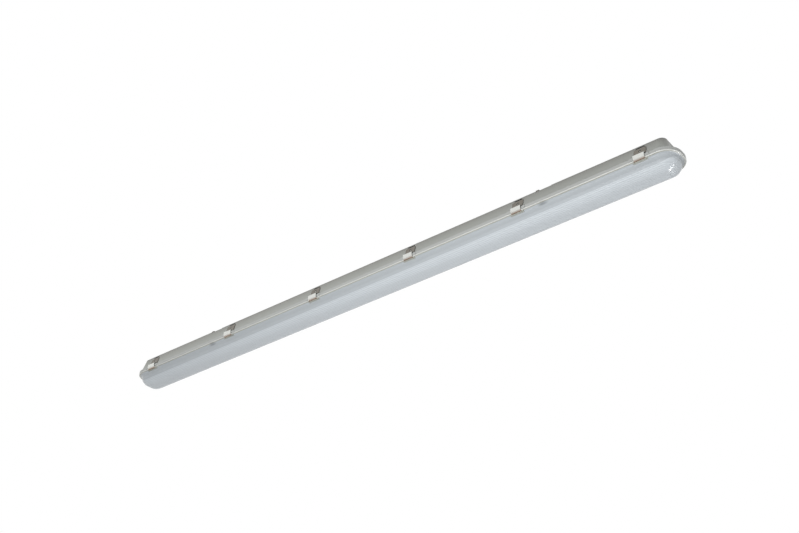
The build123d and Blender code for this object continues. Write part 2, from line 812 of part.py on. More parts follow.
wire_start_x = connector_x + connector_l / 2
wire_end_x = block_x - pole_screw_x
mains_bend_r = 12.0
mains_first = driver_end_x
mains_second = block_x - block_l / 2 - tab_l


def mains_points(y, pole_y):
    """Route of a mains wire from the driver to its pole."""
    return [
        (wire_start_x, y, driver_wire_z),
        (mains_first, y, driver_wire_z),
        (mains_second, pole_y, way_z),
        (wire_end_x, pole_y, way_z),
    ]


save(make_wire(mains_points(mains_y, pole_ys[2]), mains_bend_r, wire_r), "wire_live")
save(make_wire(mains_points(-mains_y, pole_ys[1]), mains_bend_r, wire_r), "wire_neutral")
earth_bend_r = 4.0
earth_end_x = barrel_x + barrel_wall + seat_gap
earth_turn_x = barrel_x + barrel_l + wire_r
earth_points = [
    (wire_end_x, pole_ys[0], way_z),
    (mains_second, pole_ys[0], way_z),
    (earth_turn_x, lug_y, barrel_z),
    (earth_end_x, lug_y, barrel_z),
]
save(make_wire(earth_points, earth_bend_r, wire_r), "wire_earth")

led_turn_y = 2.0
led_bend_r = 6.0
led_first_share = 0.3
led_second_share = 0.7
led_run = feed_x + wire_start_x
for side, wire_name in ((FRONT, "led_wire_plus"), (BACK, "led_wire_minus")):
    led_points = [
        (-wire_start_x, side * led_y, driver_wire_z),
        (-wire_start_x + led_first_share * led_run, side * led_y, driver_wire_z),
        (-wire_start_x + led_second_share * led_run, side * led_turn_y, driver_wire_z),
        (feed_x, side * led_turn_y, driver_wire_z),
        (feed_x, side * led_turn_y, board_z),
    ]
    save(make_wire(led_points, led_bend_r, led_wire_r), wire_name)

# Cable grommet and blanking plug in the rear entries
entry_flange = 3.0
entry_lip = 0.9
nose_l = 6.0
nose_in = 2.0
cable_bore_r = 4.5
grommet_r = entry_r - running_gap
with BuildPart() as cable_grommet:
    with BuildSketch(Plane.XZ):
        with BuildLine():
            Polyline(
                (entry_x + cable_bore_r, top_z + entry_lip),
                (entry_x + entry_r + entry_flange, top_z + entry_lip),
                (entry_x + entry_r + entry_flange, top_z + running_gap),
                (entry_x + grommet_r, top_z + running_gap),
                (entry_x + grommet_r, ceiling_z - running_gap),
                (entry_x + entry_r + entry_flange, ceiling_z - running_gap),
                (entry_x + entry_r + entry_flange, ceiling_z - running_gap - entry_lip),
                (entry_x + grommet_r, ceiling_z - running_gap - entry_lip),
                (entry_x + grommet_r - nose_in, ceiling_z - nose_l),
                (entry_x + cable_bore_r, ceiling_z - nose_l),
                close=True,
            )
        make_face()
    revolve(axis=Axis((entry_x, 0, 0), (0, 0, 1)))
save(cable_grommet.part, "cable_grommet")

plug_wall = 1.6
with BuildPart() as blanking_plug:
    with BuildSketch(Plane.XZ):
        with BuildLine():
            Polyline(
                (-entry_x, top_z + entry_lip),
                (-entry_x + entry_r + entry_flange, top_z + entry_lip),
                (-entry_x + entry_r + entry_flange, top_z + running_gap),
                (-entry_x + grommet_r, top_z + running_gap),
                (-entry_x + grommet_r, ceiling_z - running_gap),
                (-entry_x + grommet_r + running_gap + cell_gap, ceiling_z - running_gap),
                (-entry_x + grommet_r - plug_wall / 2, ceiling_z - entry_flange),
                (-entry_x + grommet_r - plug_wall, ceiling_z - entry_flange),
                (-entry_x + grommet_r - plug_wall, top_z + entry_lip - plug_wall),
                (-entry_x, top_z + entry_lip - plug_wall),
                close=True,
            )
        make_face()
    revolve(axis=Axis((-entry_x, 0, 0), (0, 0, 1)))
save(blanking_plug.part, "blanking_plug")

# Ceiling brackets: plates with a screw slot and two prongs that hook the housing
screw_hole_r = 2.75
screw_slot_l = 14.0
prong_x = bracket_w / 2 - prong_w / 2
for x, bracket_name in zip(bracket_xs, ("bracket_left", "bracket_right")):
    with BuildPart() as bracket:
        with BuildSketch(Plane.XY):
            with Locations((x, 0)):
                RectangleRounded(bracket_w, 2 * bracket_half, plate_corner_r)
            for side in (FRONT, BACK):
                with Locations((x + side * prong_x, side * (prong_u + bracket_t) / 2)):
                    Rectangle(prong_w, prong_u + bracket_t)
            with Locations((x, 0)):
                SlotOverall(screw_slot_l, 2 * screw_hole_r, mode=Mode.SUBTRACT)
        extrude(amount=-bracket_t)
        with BuildSketch(Plane.XY):
            for side in (FRONT, BACK):
                with Locations((x + side * prong_x, side * (prong_u + bracket_t / 2))):
                    Rectangle(prong_w, bracket_t)
        extrude(amount=-(bracket_t + prong_drop))
        with BuildSketch(Plane.XY.offset(-bracket_t - prong_drop)):
            for side in (FRONT, BACK):
                with Locations((x + side * prong_x, side * (prong_u + (bracket_t - lip_reach) / 2))):
                    Rectangle(prong_w, lip_reach + bracket_t)
        extrude(amount=bracket_t)
    save(bracket.part, bracket_name)
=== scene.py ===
import math

import bmesh
import bpy
import numpy as np
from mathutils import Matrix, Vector


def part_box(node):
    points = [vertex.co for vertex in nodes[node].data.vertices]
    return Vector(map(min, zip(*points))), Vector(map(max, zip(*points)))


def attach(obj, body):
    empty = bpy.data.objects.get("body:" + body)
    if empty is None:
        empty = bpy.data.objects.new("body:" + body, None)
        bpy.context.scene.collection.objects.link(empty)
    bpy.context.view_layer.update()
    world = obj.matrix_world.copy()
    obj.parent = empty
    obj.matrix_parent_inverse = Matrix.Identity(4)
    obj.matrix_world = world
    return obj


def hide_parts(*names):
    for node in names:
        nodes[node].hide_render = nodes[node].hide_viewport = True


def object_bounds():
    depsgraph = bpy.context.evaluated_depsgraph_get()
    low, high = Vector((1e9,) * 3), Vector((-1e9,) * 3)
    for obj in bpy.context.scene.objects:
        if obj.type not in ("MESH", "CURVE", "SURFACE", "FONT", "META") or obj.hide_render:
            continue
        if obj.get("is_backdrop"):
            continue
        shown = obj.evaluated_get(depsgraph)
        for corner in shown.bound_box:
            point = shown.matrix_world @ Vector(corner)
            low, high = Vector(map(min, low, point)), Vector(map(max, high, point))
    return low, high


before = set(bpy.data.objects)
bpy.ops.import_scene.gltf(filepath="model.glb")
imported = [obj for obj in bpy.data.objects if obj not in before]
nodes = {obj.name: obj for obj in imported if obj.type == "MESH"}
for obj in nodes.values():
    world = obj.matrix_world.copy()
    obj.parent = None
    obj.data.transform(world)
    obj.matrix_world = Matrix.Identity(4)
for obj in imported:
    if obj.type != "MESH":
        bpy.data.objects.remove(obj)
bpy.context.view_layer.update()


# The view: the light hangs overhead and is looked at from below, in front and past its right end,
# through the lens that the fixture's own vanishing gives.
frame_px = 799
lens_px = 1091.6
sensor_mm = 36.0
camera_at = Vector((1.3827, -1.64113, -1.35666))
looks_along = Vector((-0.523143, 0.661236, 0.537669))

camera_data = bpy.data.cameras.new("camera")
camera_data.sensor_width = sensor_mm
camera_data.lens = lens_px / frame_px * sensor_mm
camera = bpy.data.objects.new("camera", camera_data)
camera.location = camera_at
camera.rotation_euler = looks_along.to_track_quat("-Z", "Y").to_euler()
bpy.context.scene.collection.objects.link(camera)
bpy.context.scene.camera = camera
bpy.context.scene.view_settings.view_transform = "Standard"


# The studio: a white surround that is seen and mirrored as white, and soft lamps: broad ones in front,
# behind, above and at the right, one that skims the left half's wall, and a small low one that only
# glints. Only the surround and the low lamp show in gloss.
surround_colour = (0.97, 0.985, 1.0, 1)
surround_level = 0.38
white = (1, 1, 1, 1)


def area_lamp(name, at, towards, size, watts):
    """A square soft lamp of that size in metres, aimed at a point, which the camera itself doesn't see."""
    data = bpy.data.lights.new(name, "AREA")
    data.size = size
    data.energy = watts
    lamp = bpy.data.objects.new(name, data)
    lamp.location = at
    lamp.rotation_euler = (Vector(towards) - Vector(at)).to_track_quat("-Z", "Y").to_euler()
    lamp.visible_camera = False
    bpy.context.scene.collection.objects.link(lamp)
    return lamp


def shader_node(owner, kind, *values, **settings):
    """Adds a node with those settings to a material or the world, and gives its first output.

    Each value is linked to an input or set on it, in order. None leaves its input as it is.
    """
    made = owner.node_tree.nodes.new(kind)
    for key, value in settings.items():
        setattr(made, key, value)
    for socket, value in zip(made.inputs, values):
        if isinstance(value, bpy.types.NodeSocket):
            owner.node_tree.links.new(value, socket)
        elif value is not None:
            socket.default_value = value
    return made.outputs[0]


for lamp in (
    area_lamp("front_box", (0.45, -1.15, -1.05), (0.1, 0, -0.05), 1.0, 17),
    area_lamp("left_box", (-1.1, -0.9, 1.3), (-0.5, 0, -0.03), 0.8, 12),
    area_lamp("back_box", (0.1, 1.4, 0.4), (0, 0, -0.03), 1.0, 11),
    area_lamp("top_box", (0, 0.3, 1.1), (0, 0, 0), 1.0, 6),
    area_lamp("right_box", (2.3, -0.35, -0.15), (0.78, 0, -0.04), 0.6, 4),
):
    lamp.visible_glossy = False
low_box = area_lamp("low_box", (0.93, 0.84, -1.18), (0.755, 0, -0.07), 0.3, 9)
low_box.visible_diffuse = False

world = bpy.data.worlds.new("surround")
bpy.context.scene.world = world
world.use_nodes = True
world.node_tree.nodes.clear()
rays = world.node_tree.nodes.new("ShaderNodeLightPath").outputs
looked_at = rays["Is Camera Ray"]
for ray in ("Is Glossy Ray", "Is Transmission Ray"):
    looked_at = shader_node(world, "ShaderNodeMath", looked_at, rays[ray], operation="MAXIMUM")
lights_the_part = shader_node(world, "ShaderNodeBackground", surround_colour, surround_level)
shows_white = shader_node(world, "ShaderNodeBackground", white, 1.0)
surround = shader_node(world, "ShaderNodeMixShader", looked_at, lights_the_part, shows_white)
world_out = world.node_tree.nodes.new("ShaderNodeOutputWorld")
world.node_tree.links.new(surround, world_out.inputs["Surface"])


# The floor: painted pale, well below the ceiling height at which the light hangs.
# It is a plain sheet and not part of the object.
MM = 0.001
floor_z = -4.6
floor_half = 60.0
floor_lift = 0.6


def grid_mesh(name, points, close_cols=False, open_at=None):
    """Mesh of one or more grids of points, shaped (..., rows, columns, 3): neighbours are joined to quads.

    With close_cols each grid's last column is joined to its first. Columns run round, rows run along.
    Where open_at, shaped (..., rows, columns), holds at all four corners, there is no quad.
    """
    points = np.asarray(points, float)
    rows, cols = points.shape[-3:-1]
    index = np.arange(rows * cols).reshape(rows, cols)
    if close_cols:
        index = np.concatenate([index, index[:, :1]], axis=1)
    around = [index[:-1, :-1], index[1:, :-1], index[1:, 1:], index[:-1, 1:]]
    quads = np.stack(around, axis=-1).reshape(-1, 4)
    count = points.size // (rows * cols * 3)
    quads = (quads[None] + rows * cols * np.arange(count)[:, None, None]).reshape(-1, 4)
    if open_at is not None:
        quads = quads[~np.ravel(open_at)[quads].all(axis=1)]
    mesh = bpy.data.meshes.new(name)
    mesh.from_pydata(points.reshape(-1, 3).tolist(), [], quads.tolist())
    mesh.update()
    piece = bpy.data.objects.new(name, mesh)
    bpy.context.scene.collection.objects.link(piece)
    return piece


def object_place(mat, stretch=(1, 1, 1)):
    """Object coordinates of a material, scaled along each axis."""
    coordinates = mat.node_tree.nodes.new("ShaderNodeTexCoord")
    return shader_node(mat, "ShaderNodeMapping", coordinates.outputs["Object"], None, None, stretch)


def surface(
    name, colour, rough, metal=0.0, mottle=0.02, grain_size=900, stretch=(1, 1, 1), bump=0.1, spread=0.1
):
    """Material of one finish: a grain on object coordinates moves its colour, gloss and relief a little.

    colour x (1 +- mottle), rough x (1 +- spread), and a relief of bump tenths of a millimetre.
    """
    mat = bpy.data.materials.new(name)
    mat.use_nodes = True
    shader = mat.node_tree.nodes["Principled BSDF"]
    links = mat.node_tree.links
    shader.inputs["Metallic"].default_value = metal
    detail = 3.0
    noise_span = (0.3, 0.7)
    grain = shader_node(mat, "ShaderNodeTexNoise", object_place(mat, stretch), None, grain_size, detail)
    paler = shader_node(mat, "ShaderNodeMapRange", grain, *noise_span, 1 - mottle, 1 + mottle)
    mottled = shader_node(mat, "ShaderNodeVectorMath", (*colour,), paler, operation="MULTIPLY")
    links.new(mottled, shader.inputs["Base Color"])
    least, most = rough * (1 - spread), rough * (1 + spread)
    duller = shader_node(mat, "ShaderNodeMapRange", grain, *noise_span, least, most)
    links.new(duller, shader.inputs["Roughness"])
    relief = mat.node_tree.nodes.new("ShaderNodeBump")
    relief.inputs["Strength"].default_value = bump
    relief.inputs["Distance"].default_value = 0.1 * MM
    links.new(grain, relief.inputs["Height"])
    links.new(relief.outputs["Normal"], shader.inputs["Normal"])
    return mat


floor_sides = (-floor_half, floor_half)
floor = grid_mesh("floor", [[[x, y, floor_z] for x in floor_sides] for y in floor_sides])
floor_paint = surface("floor_paint", (0.86, 0.86, 0.86), 0.7, grain_size=4, bump=0.0)
# Mirrored in steel and gloss it is as white as the surround. Seen straight on it is lifted part of the
# way to white, and keeps its shadows under that
floor_nodes = floor_paint.node_tree.nodes
rays = floor_nodes.new("ShaderNodeLightPath").outputs
lifted = shader_node(floor_paint, "ShaderNodeMath", rays["Is Camera Ray"], floor_lift, operation="MULTIPLY")
white_share = shader_node(floor_paint, "ShaderNodeMath", rays["Is Glossy Ray"], lifted, operation="MAXIMUM")
painted = floor_nodes["Principled BSDF"].outputs[0]
white_there = shader_node(floor_paint, "ShaderNodeEmission", white, 1.0)
floor_look = shader_node(floor_paint, "ShaderNodeMixShader", white_share, painted, white_there)
floor_paint.node_tree.links.new(floor_look, floor_nodes["Material Output"].inputs["Surface"])
floor.data.materials.append(floor_paint)
floor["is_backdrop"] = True


# Housing: one long moulding in satin grey plastic, drafted walls on a flange that holds the seal. Its
# colour carries painted shade: the walls are painted darker than the flange and darker towards the top,
# and behind each latch the wall has a pocket, painted dark inside as the shade of a deep one.
flange_h = 6.1 * MM
wall_h = 34.7 * MM
foot_half_w = 38 * MM
wall_in = 10.2 * MM
latch_pitch = 284 * MM
latch_drop = 8.8 * MM
housing_low, housing_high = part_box("housing")
flange_z = housing_low.z
foot_z = flange_z + flange_h
top_z = housing_high.z
latch_z = top_z - latch_drop
# Painted shade over the height: the flange lighter, the wall darker and darkest just under its rounded top
# edge, the top face lighter again
housing_painted_shade = [
    (flange_z, (0.45, 0.46, 0.44)),
    (foot_z - 0.1 * MM, (0.46, 0.47, 0.455)),
    (foot_z + 0.1 * MM, (0.39, 0.4, 0.373)),
    (foot_z + 8 * MM, (0.365, 0.375, 0.347)),
    (top_z - 7 * MM, (0.27, 0.272, 0.248)),
    (top_z - 3.2 * MM, (0.2, 0.2, 0.185)),
    (top_z - 1.5 * MM, (0.22, 0.22, 0.205)),
    (top_z - 0.2 * MM, (0.33, 0.335, 0.315)),
    (top_z, (0.35, 0.36, 0.335)),
]
# Where the pockets' painted shade lies, and how dark it is
pocket_z = latch_z + 1 * MM
pocket_side = (9.6 * MM, 9.9 * MM)
pocket_edge = (3.4 * MM, 3.9 * MM)
pocket_mouth = (0.1 * MM, 0.5 * MM)
pocket_back = (3.2 * MM, 3.4 * MM)
pocket_painted_shade = 0.13


def finish_node(node, mat):
    """Gives a CAD node its material."""
    nodes[node].data.materials.clear()
    nodes[node].data.materials.append(mat)


def worked_out(mat, operation, *values):
    """One step of arithmetic on a material's values."""
    return shader_node(mat, "ShaderNodeMath", *values, operation=operation)


def eased(mat, value, start, end, low, high):
    """Turns smoothly from low, where value is at start, to high, where it is at end."""
    limits = (start, end, low, high)
    return shader_node(mat, "ShaderNodeMapRange", value, *limits, interpolation_type="SMOOTHSTEP")


def tint(mat, factor):
    """Multiplies a material's colour by a value or a colour."""
    base = mat.node_tree.nodes["Principled BSDF"].inputs["Base Color"]
    before = base.links[0].from_socket
    tinted = shader_node(mat, "ShaderNodeVectorMath", before, factor, operation="MULTIPLY")
    mat.node_tree.links.new(tinted, base)


def axes_of(mat):
    """Object X, Y and Z of a material as three values."""
    split = mat.node_tree.nodes.new("ShaderNodeSeparateXYZ")
    mat.node_tree.links.new(object_place(mat), split.inputs[0])
    return split.outputs


def level_tint(mat, stops):
    """Multiplies a material's colour by a ramp over the height: pairs of height and colour, rising."""
    low, high = stops[0][0], stops[-1][0]
    share = shader_node(mat, "ShaderNodeMapRange", axes_of(mat)[2], low, high)
    ramp = mat.node_tree.nodes.new("ShaderNodeValToRGB")
    mat.node_tree.links.new(share, ramp.inputs[0])
    marks = ramp.color_ramp.elements
    for mark, (height, colour) in zip((marks[0], marks[1]), (stops[0], stops[-1])):
        mark.position = (height - low) / (high - low)
        mark.color = (*colour, 1)
    for height, colour in stops[1:-1]:
        marks.new((height - low) / (high - low)).color = (*colour, 1)
    tint(mat, ramp.outputs[0])


def from_nearest(mat, value, pitch, one_at=0.0):
    """Way, plus or minus, from the nearest of a row of middles at one pitch, one of which is known."""
    moved = worked_out(mat, "SUBTRACT", value, one_at)
    return worked_out(mat, "WRAP", moved, pitch / 2, -pitch / 2)


housing_grey = surface("housing_grey", (0.97, 0.97, 0.97), 0.42, grain_size=1400, bump=0.15)
level_tint(housing_grey, housing_painted_shade)
# Painted shade inside the pockets: inside a pocket is what lies near a latch, round the pins' level,
# behind the wall's face and not past the pocket's back, and there the colour is darkened to near black
x, y, z = axes_of(housing_grey)
from_latch = from_nearest(housing_grey, x, latch_pitch, latch_pitch / 2)
up_wall = worked_out(housing_grey, "SUBTRACT", z, foot_z)
wall_half = worked_out(housing_grey, "MULTIPLY_ADD", up_wall, -wall_in / wall_h, foot_half_w)
behind_wall = worked_out(housing_grey, "SUBTRACT", wall_half, worked_out(housing_grey, "ABSOLUTE", y))
off_level = worked_out(housing_grey, "SUBTRACT", z, pocket_z)
in_pocket = 1.0
for way, fade, low, high in (
    (worked_out(housing_grey, "ABSOLUTE", from_latch), pocket_side, 1, 0),
    (worked_out(housing_grey, "ABSOLUTE", off_level), pocket_edge, 1, 0),
    (behind_wall, pocket_mouth, 0, 1),
    (behind_wall, pocket_back, 1, 0),
):
    in_pocket = worked_out(housing_grey, "MULTIPLY", in_pocket, eased(housing_grey, way, *fade, low, high))
tint(housing_grey, eased(housing_grey, in_pocket, 0, 1, 1, pocket_painted_shade))
finish_node("housing", housing_grey)


# Latch pips: round plastic nubs moulded on the wall, one in the hole of each closed latch's plate.
# They are part of the housing's moulding and keep the sprung plate from rattling.
pip_r = 1.4 * MM
pip_h = 1.15 * MM
pip_down = 9.6 * MM
pip_sunk = 0.4 * pip_h
draft = math.atan(wall_in / wall_h)
latch_xs = latch_pitch * (np.arange(6) - 2.5)


def on_wall(down, out):
    """Half width and level of points that far down the wall from the latches' pins, that far out of it."""
    wall_there = foot_half_w - wall_in * (latch_z - foot_z) / wall_h
    half = wall_there + down * math.sin(draft) + out * math.cos(draft)
    level = latch_z - down * math.cos(draft) + out * math.sin(draft)
    return np.stack(np.broadcast_arrays(half, level), axis=-1)


def at_each_latch(grid):
    """Copies of one grid of points (way along X from the latch's middle, half width, level) at the latches.

    The front row comes first, with its half widths turned to -Y, then the back row, each from left to right.
    """
    side = np.repeat((-1, 1), len(latch_xs))[:, None, None]
    x = np.tile(latch_xs, 2)[:, None, None]
    return np.stack([x + grid[..., 0], side * grid[..., 1], 0 * x + grid[..., 2]], axis=-1)


def pip_grid(round_steps=16, rise_steps=6):
    """A flattened dome on the wall: radius r cos(t), height h sin(t), with a skirt sunk into the wall."""
    turn = np.linspace(0, 2 * math.pi, round_steps, endpoint=False)[None, :]
    rise = np.linspace(0, math.pi / 2, rise_steps)
    radius = np.concatenate([[0, pip_r], pip_r * np.cos(rise)])[:, None]
    height = np.concatenate([[-pip_sunk, -pip_sunk], pip_h * np.sin(rise)])[:, None]
    across = radius * np.cos(turn)
    return np.concatenate([across[:, :, None], on_wall(pip_down - radius * np.sin(turn), height)], axis=-1)


def close_seams(piece, gap=1e-6, smooth_angle=35):
    """Merges doubled points, turns all faces outwards and shades smooth up to an angle in degrees."""
    work = bmesh.new()
    work.from_mesh(piece.data)
    loose = [point for point in work.verts if not point.link_faces]
    bmesh.ops.delete(work, geom=loose, context="VERTS")
    bmesh.ops.remove_doubles(work, verts=work.verts, dist=gap)
    bmesh.ops.dissolve_degenerate(work, edges=work.edges, dist=gap)
    bmesh.ops.recalc_face_normals(work, faces=work.faces)
    work.to_mesh(piece.data)
    work.free()
    piece.data.shade_smooth()
    piece.data.set_sharp_from_angle(angle=math.radians(smooth_angle))


latch_pips = grid_mesh("latch_pips", at_each_latch(pip_grid()), close_cols=True)
close_seams(latch_pips)
latch_pips.data.materials.append(surface("pip_grey", (0.5, 0.5, 0.47), 0.35, bump=0.05))
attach(latch_pips, "root")


# Seal: a strip of closed-cell foam poured into the flange's groove.
# Its skin is matt, with fine pores.
foam_seal = surface("foam_seal", (0.8, 0.8, 0.78), 0.9, mottle=0.05, grain_size=2500, bump=0.4)
finish_node("gasket", foam_seal)


# Ceiling brackets: bent stainless strips, screwed up through their slots. Their prongs snap into the
# recesses of the housing's top edges, where the tips show dark against the ceiling: the steel is painted
# dark, a painted shade for the recesses they lie in.
bracket_steel = surface(
    "bracket_steel", (0.2, 0.185, 0.17), 0.4, metal=1.0, mottle=0.08, stretch=(0.1, 1, 1), bump=0.2
)
for node in ("bracket_left", "bracket_right"):
    finish_node(node, bracket_steel)


# Cable entries: a soft grommet for the supply's entry and a plug that blanks the other one.
# Both are moulded rubber, pushed into the holes of the housing's back.
rubber = surface("rubber_grey", (0.09, 0.095, 0.1), 0.7, mottle=0.1, grain_size=1800, bump=0.3)
for node in ("cable_grommet", "blanking_plug"):
    finish_node(node, rubber)


# Gear tray: a long white painted steel plate between two edge rails, level with the flange.
# The paint is powder, with a faint orange peel.
tray_white = surface("tray_white", (0.86, 0.86, 0.85), 0.35, mottle=0.01, grain_size=700, bump=0.3)
for node in ("gear_tray", "tray_rail_front", "tray_rail_back"):
    finish_node(node, tray_white)


# Toggles: quarter-turn heads in white nylon, on stems that turn in the housing's posts.
# They hold the tray up, and let it hang once turned.
nylon = surface("white_nylon", (0.8, 0.8, 0.77), 0.4, bump=0.1)
for node in ("toggle_front_left", "toggle_front_right", "toggle_back_left", "toggle_back_right"):
    finish_node(node, nylon)


# Light boards: white lacquered circuit boards screwed under the tray, joined by two plug links.
# Two copper tracks show as faint lines under the lacquer, along the row of chips.
track_y = 5.2 * MM
track_edge = (0.7 * MM, 0.9 * MM)
track_tone = 0.93
board_white = surface("board_white", (0.88, 0.88, 0.86), 0.4, mottle=0.01, grain_size=700, bump=0.05)
off_middle = worked_out(board_white, "ABSOLUTE", axes_of(board_white)[1])
off_track = worked_out(board_white, "ABSOLUTE", worked_out(board_white, "SUBTRACT", off_middle, track_y))
tint(board_white, eased(board_white, off_track, *track_edge, track_tone, 1))
for node in ("led_board_1", "led_board_2", "led_board_3"):
    finish_node(node, board_white)
finish_node("board_links", nylon)
screw_zinc = surface("screw_zinc", (0.6, 0.6, 0.6), 0.3, metal=1.0, mottle=0.08)
finish_node("board_screws", screw_zinc)


# Chips: light emitting diodes in white packages, soldered along the boards at one pitch.
# Each has a round window of yellow phosphor on its face.
board_pitch = 490 * MM
chip_pitch = 422 / 21 * MM
window_r = 1.15 * MM
window_edge = (window_r, window_r + 0.1 * MM)
phosphor = (1.0, 0.8, 0.22)
chip_face = surface("chip_face", (0.85, 0.85, 0.82), 0.35, bump=0.02)


def distance(mat, *parts):
    """Length of the vector whose parts are those values: the root of the sum of their squares."""
    length = mat.node_tree.nodes.new("ShaderNodeVectorMath")
    length.operation = "LENGTH"
    mat.node_tree.links.new(shader_node(mat, "ShaderNodeCombineXYZ", *parts), length.inputs[0])
    return length.outputs["Value"]


x, y, z = axes_of(chip_face)
from_chip = from_nearest(chip_face, from_nearest(chip_face, x, board_pitch), chip_pitch, chip_pitch / 2)
in_package = eased(chip_face, distance(chip_face, from_chip, y), *window_edge, 0, 1)
window_tint = [eased(chip_face, in_package, 0, 1, part, 1) for part in phosphor]
tint(chip_face, shader_node(chip_face, "ShaderNodeCombineXYZ", *window_tint))
finish_node("led_chips", chip_face)


# Driver: an aluminium box on the tray's top, a folded base closed by a lid, with its circuit inside.
# The metal is left bare and brushed along its length.
alloy = surface(
    "driver_alloy", (0.7, 0.7, 0.71), 0.35, metal=1.0, mottle=0.05, stretch=(0.05, 1, 1), bump=0.15
)
for node in ("driver_base", "driver_lid"):
    finish_node(node, alloy)
finish_node("driver_circuit", surface("circuit_green", (0.04, 0.2, 0.08), 0.3, mottle=0.2))
finish_node("driver_parts", surface("driver_black", (0.05, 0.05, 0.055), 0.4, mottle=0.1))
finish_node("driver_screws", screw_zinc)


# Terminal block, cord clamp and earth lug: nylon mouldings and a brass lug, screwed to the tray's top.
# The block's wire clamps are brass and its screws zinc plated.
for node in ("terminal_block", "cord_clamp"):
    finish_node(node, nylon)
brass = surface("terminal_brass", (0.7, 0.53, 0.22), 0.3, metal=1.0, mottle=0.05)
for node in ("terminal_clamps", "earth_lug"):
    finish_node(node, brass)
for node in ("terminal_screws", "clamp_screws", "earth_screw"):
    finish_node(node, screw_zinc)


# Wires: sleeved leads from the terminal block to the driver, the earth lug and the boards. The sleeves
# are plain vinyl: brown, blue and yellowish green for the supply, red and black for the boards.
for node, sleeve in {
    "wire_live": (0.2, 0.09, 0.04),
    "wire_neutral": (0.05, 0.15, 0.5),
    "wire_earth": (0.3, 0.45, 0.05),
    "led_wire_plus": (0.5, 0.03, 0.03),
    "led_wire_minus": (0.02, 0.02, 0.02),
}.items():
    finish_node(node, surface(f"{node}_sleeve", sleeve, 0.35, mottle=0.05))


# Cover: frosted clear plastic, moulded in one with its bevelled rim, and held up by the latches.
# Its sides are smooth, and fine grooves follow its outline over the crown. Its colour carries painted
# shade: the sides darker than the crown, the grooves and the lip's underside darker, and the toggles
# inside painted through the sides as soft darker patches, just under the lip.
cover_low, cover_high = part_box("cover")
half_l = cover_high.x
half_w = cover_high.y
corner_r = 37.3 * MM
rim_h = 2.2 * MM
cover_h = 27.1 * MM
lip_z = cover_low.z + cover_h
tongue_h = cover_high.z - lip_z
tongue_out_u = 39.7 * MM
tongue_in_u = 38.1 * MM
rim_in_u = 36.4 * MM
cover_wall = 2.0 * MM
groove_pitch = 4.3 * MM
groove_half = 0.5 * MM
groove_depth = 0.35 * MM
rim_tone = (0.66, 0.67, 0.645)
# The lip's underside is painted olive and darker, a painted shade for the gap under the rim, less dark on the
# ends
lip_painted_shade = (0.41, 0.41, 0.355)
lip_end_painted_shade = (0.58, 0.59, 0.56)
# The sides are painted darker than the crown: painted shade for the darker inside seen through the sides
band_shaded_tone = (0.457, 0.49, 0.514)
crown_tone = (0.612, 0.655, 0.687)
groove_shade = 0.2
end_groove_loss = 0.3
crease_depth = 16.8 * MM
crease_climb = 12 * MM
crease_soft = 1 * MM
# Where and how dark the toggles' painted shade through the sides is
patch_x = 486 * MM
patch_half_l = 12 * MM
patch_z = lip_z - 1.8 * MM
patch_half_h = 2.6 * MM
patch_edge = (0.2, 1.35)
patch_painted_shade = 0.58


def through(points, count):
    """Smooth curve through points: cubic pieces whose slopes are those of the neighbouring points."""
    p = np.asarray(points, float)
    slope = np.gradient(p, axis=0)
    t = np.linspace(0, len(p) - 1, count)
    k = np.minimum(t.astype(int), len(p) - 2)
    f = (t - k)[:, None]
    a, b, ma, mb = p[k], p[k + 1], slope[k], slope[k + 1]
    return (
        (2 * f**3 - 3 * f**2 + 1) * a
        + (f**3 - 2 * f**2 + f) * ma
        + (3 * f**2 - 2 * f**3) * b
        + (f**3 - f**2) * mb
    )


def way_along(path):
    """Way from a path's first point to each of its points: the sum of the legs before it."""
    return np.concatenate([[0], np.cumsum(np.hypot(*np.diff(path, axis=0).T))])


def directions(path):
    """A path's direction at each point, one long, and the same turned left by a quarter turn."""
    ahead = np.gradient(path, axis=0)
    ahead /= np.linalg.norm(ahead, axis=1)[:, None]
    return ahead, np.stack([-ahead[:, 1], ahead[:, 0]], axis=-1)


def grooved(profile):
    """Sinks a profile inwards by depth x exp(-(d / half)^2), where d is the way to the nearest groove.

    Gives the sunk profile and each point's share of the groove. The first groove lies half a pitch past
    the crease.
    """
    run = way_along(profile)
    past_crease = np.interp(crease_depth, -profile[::-1, 1], run[::-1]) - run
    off = (past_crease / groove_pitch) % 1 - 0.5
    share = np.exp(-((off * groove_pitch / groove_half) ** 2)) * (past_crease > 0)
    _, inward = directions(profile)
    return profile + inward * (groove_depth * share)[:, None], share


def outline_walk(corner_steps, side_steps):
    """Steps round the rim's outline: corners of equal turns, joined by equal steps along both long sides.

    Each step is the share of the corner centre's X and Y at which it turns, and its outward angle.
    """
    signs = np.array([(1, 1), (-1, 1), (-1, -1), (1, -1)])
    quarter = np.repeat(np.arange(4), corner_steps)
    angle = np.tile(np.linspace(0, math.pi / 2, corner_steps), 4) + quarter * math.pi / 2
    corners = np.column_stack([signs[quarter], angle]).reshape(4, corner_steps, 3)
    along = np.linspace(1, -1, side_steps)[1:-1]
    ones = np.ones(len(along))
    back_side = np.column_stack([along, ones, ones * math.pi / 2])
    front_side = np.column_stack([-along, -ones, ones * 3 * math.pi / 2])
    return np.concatenate([corners[0], back_side, corners[1], corners[2], front_side, corners[3]])


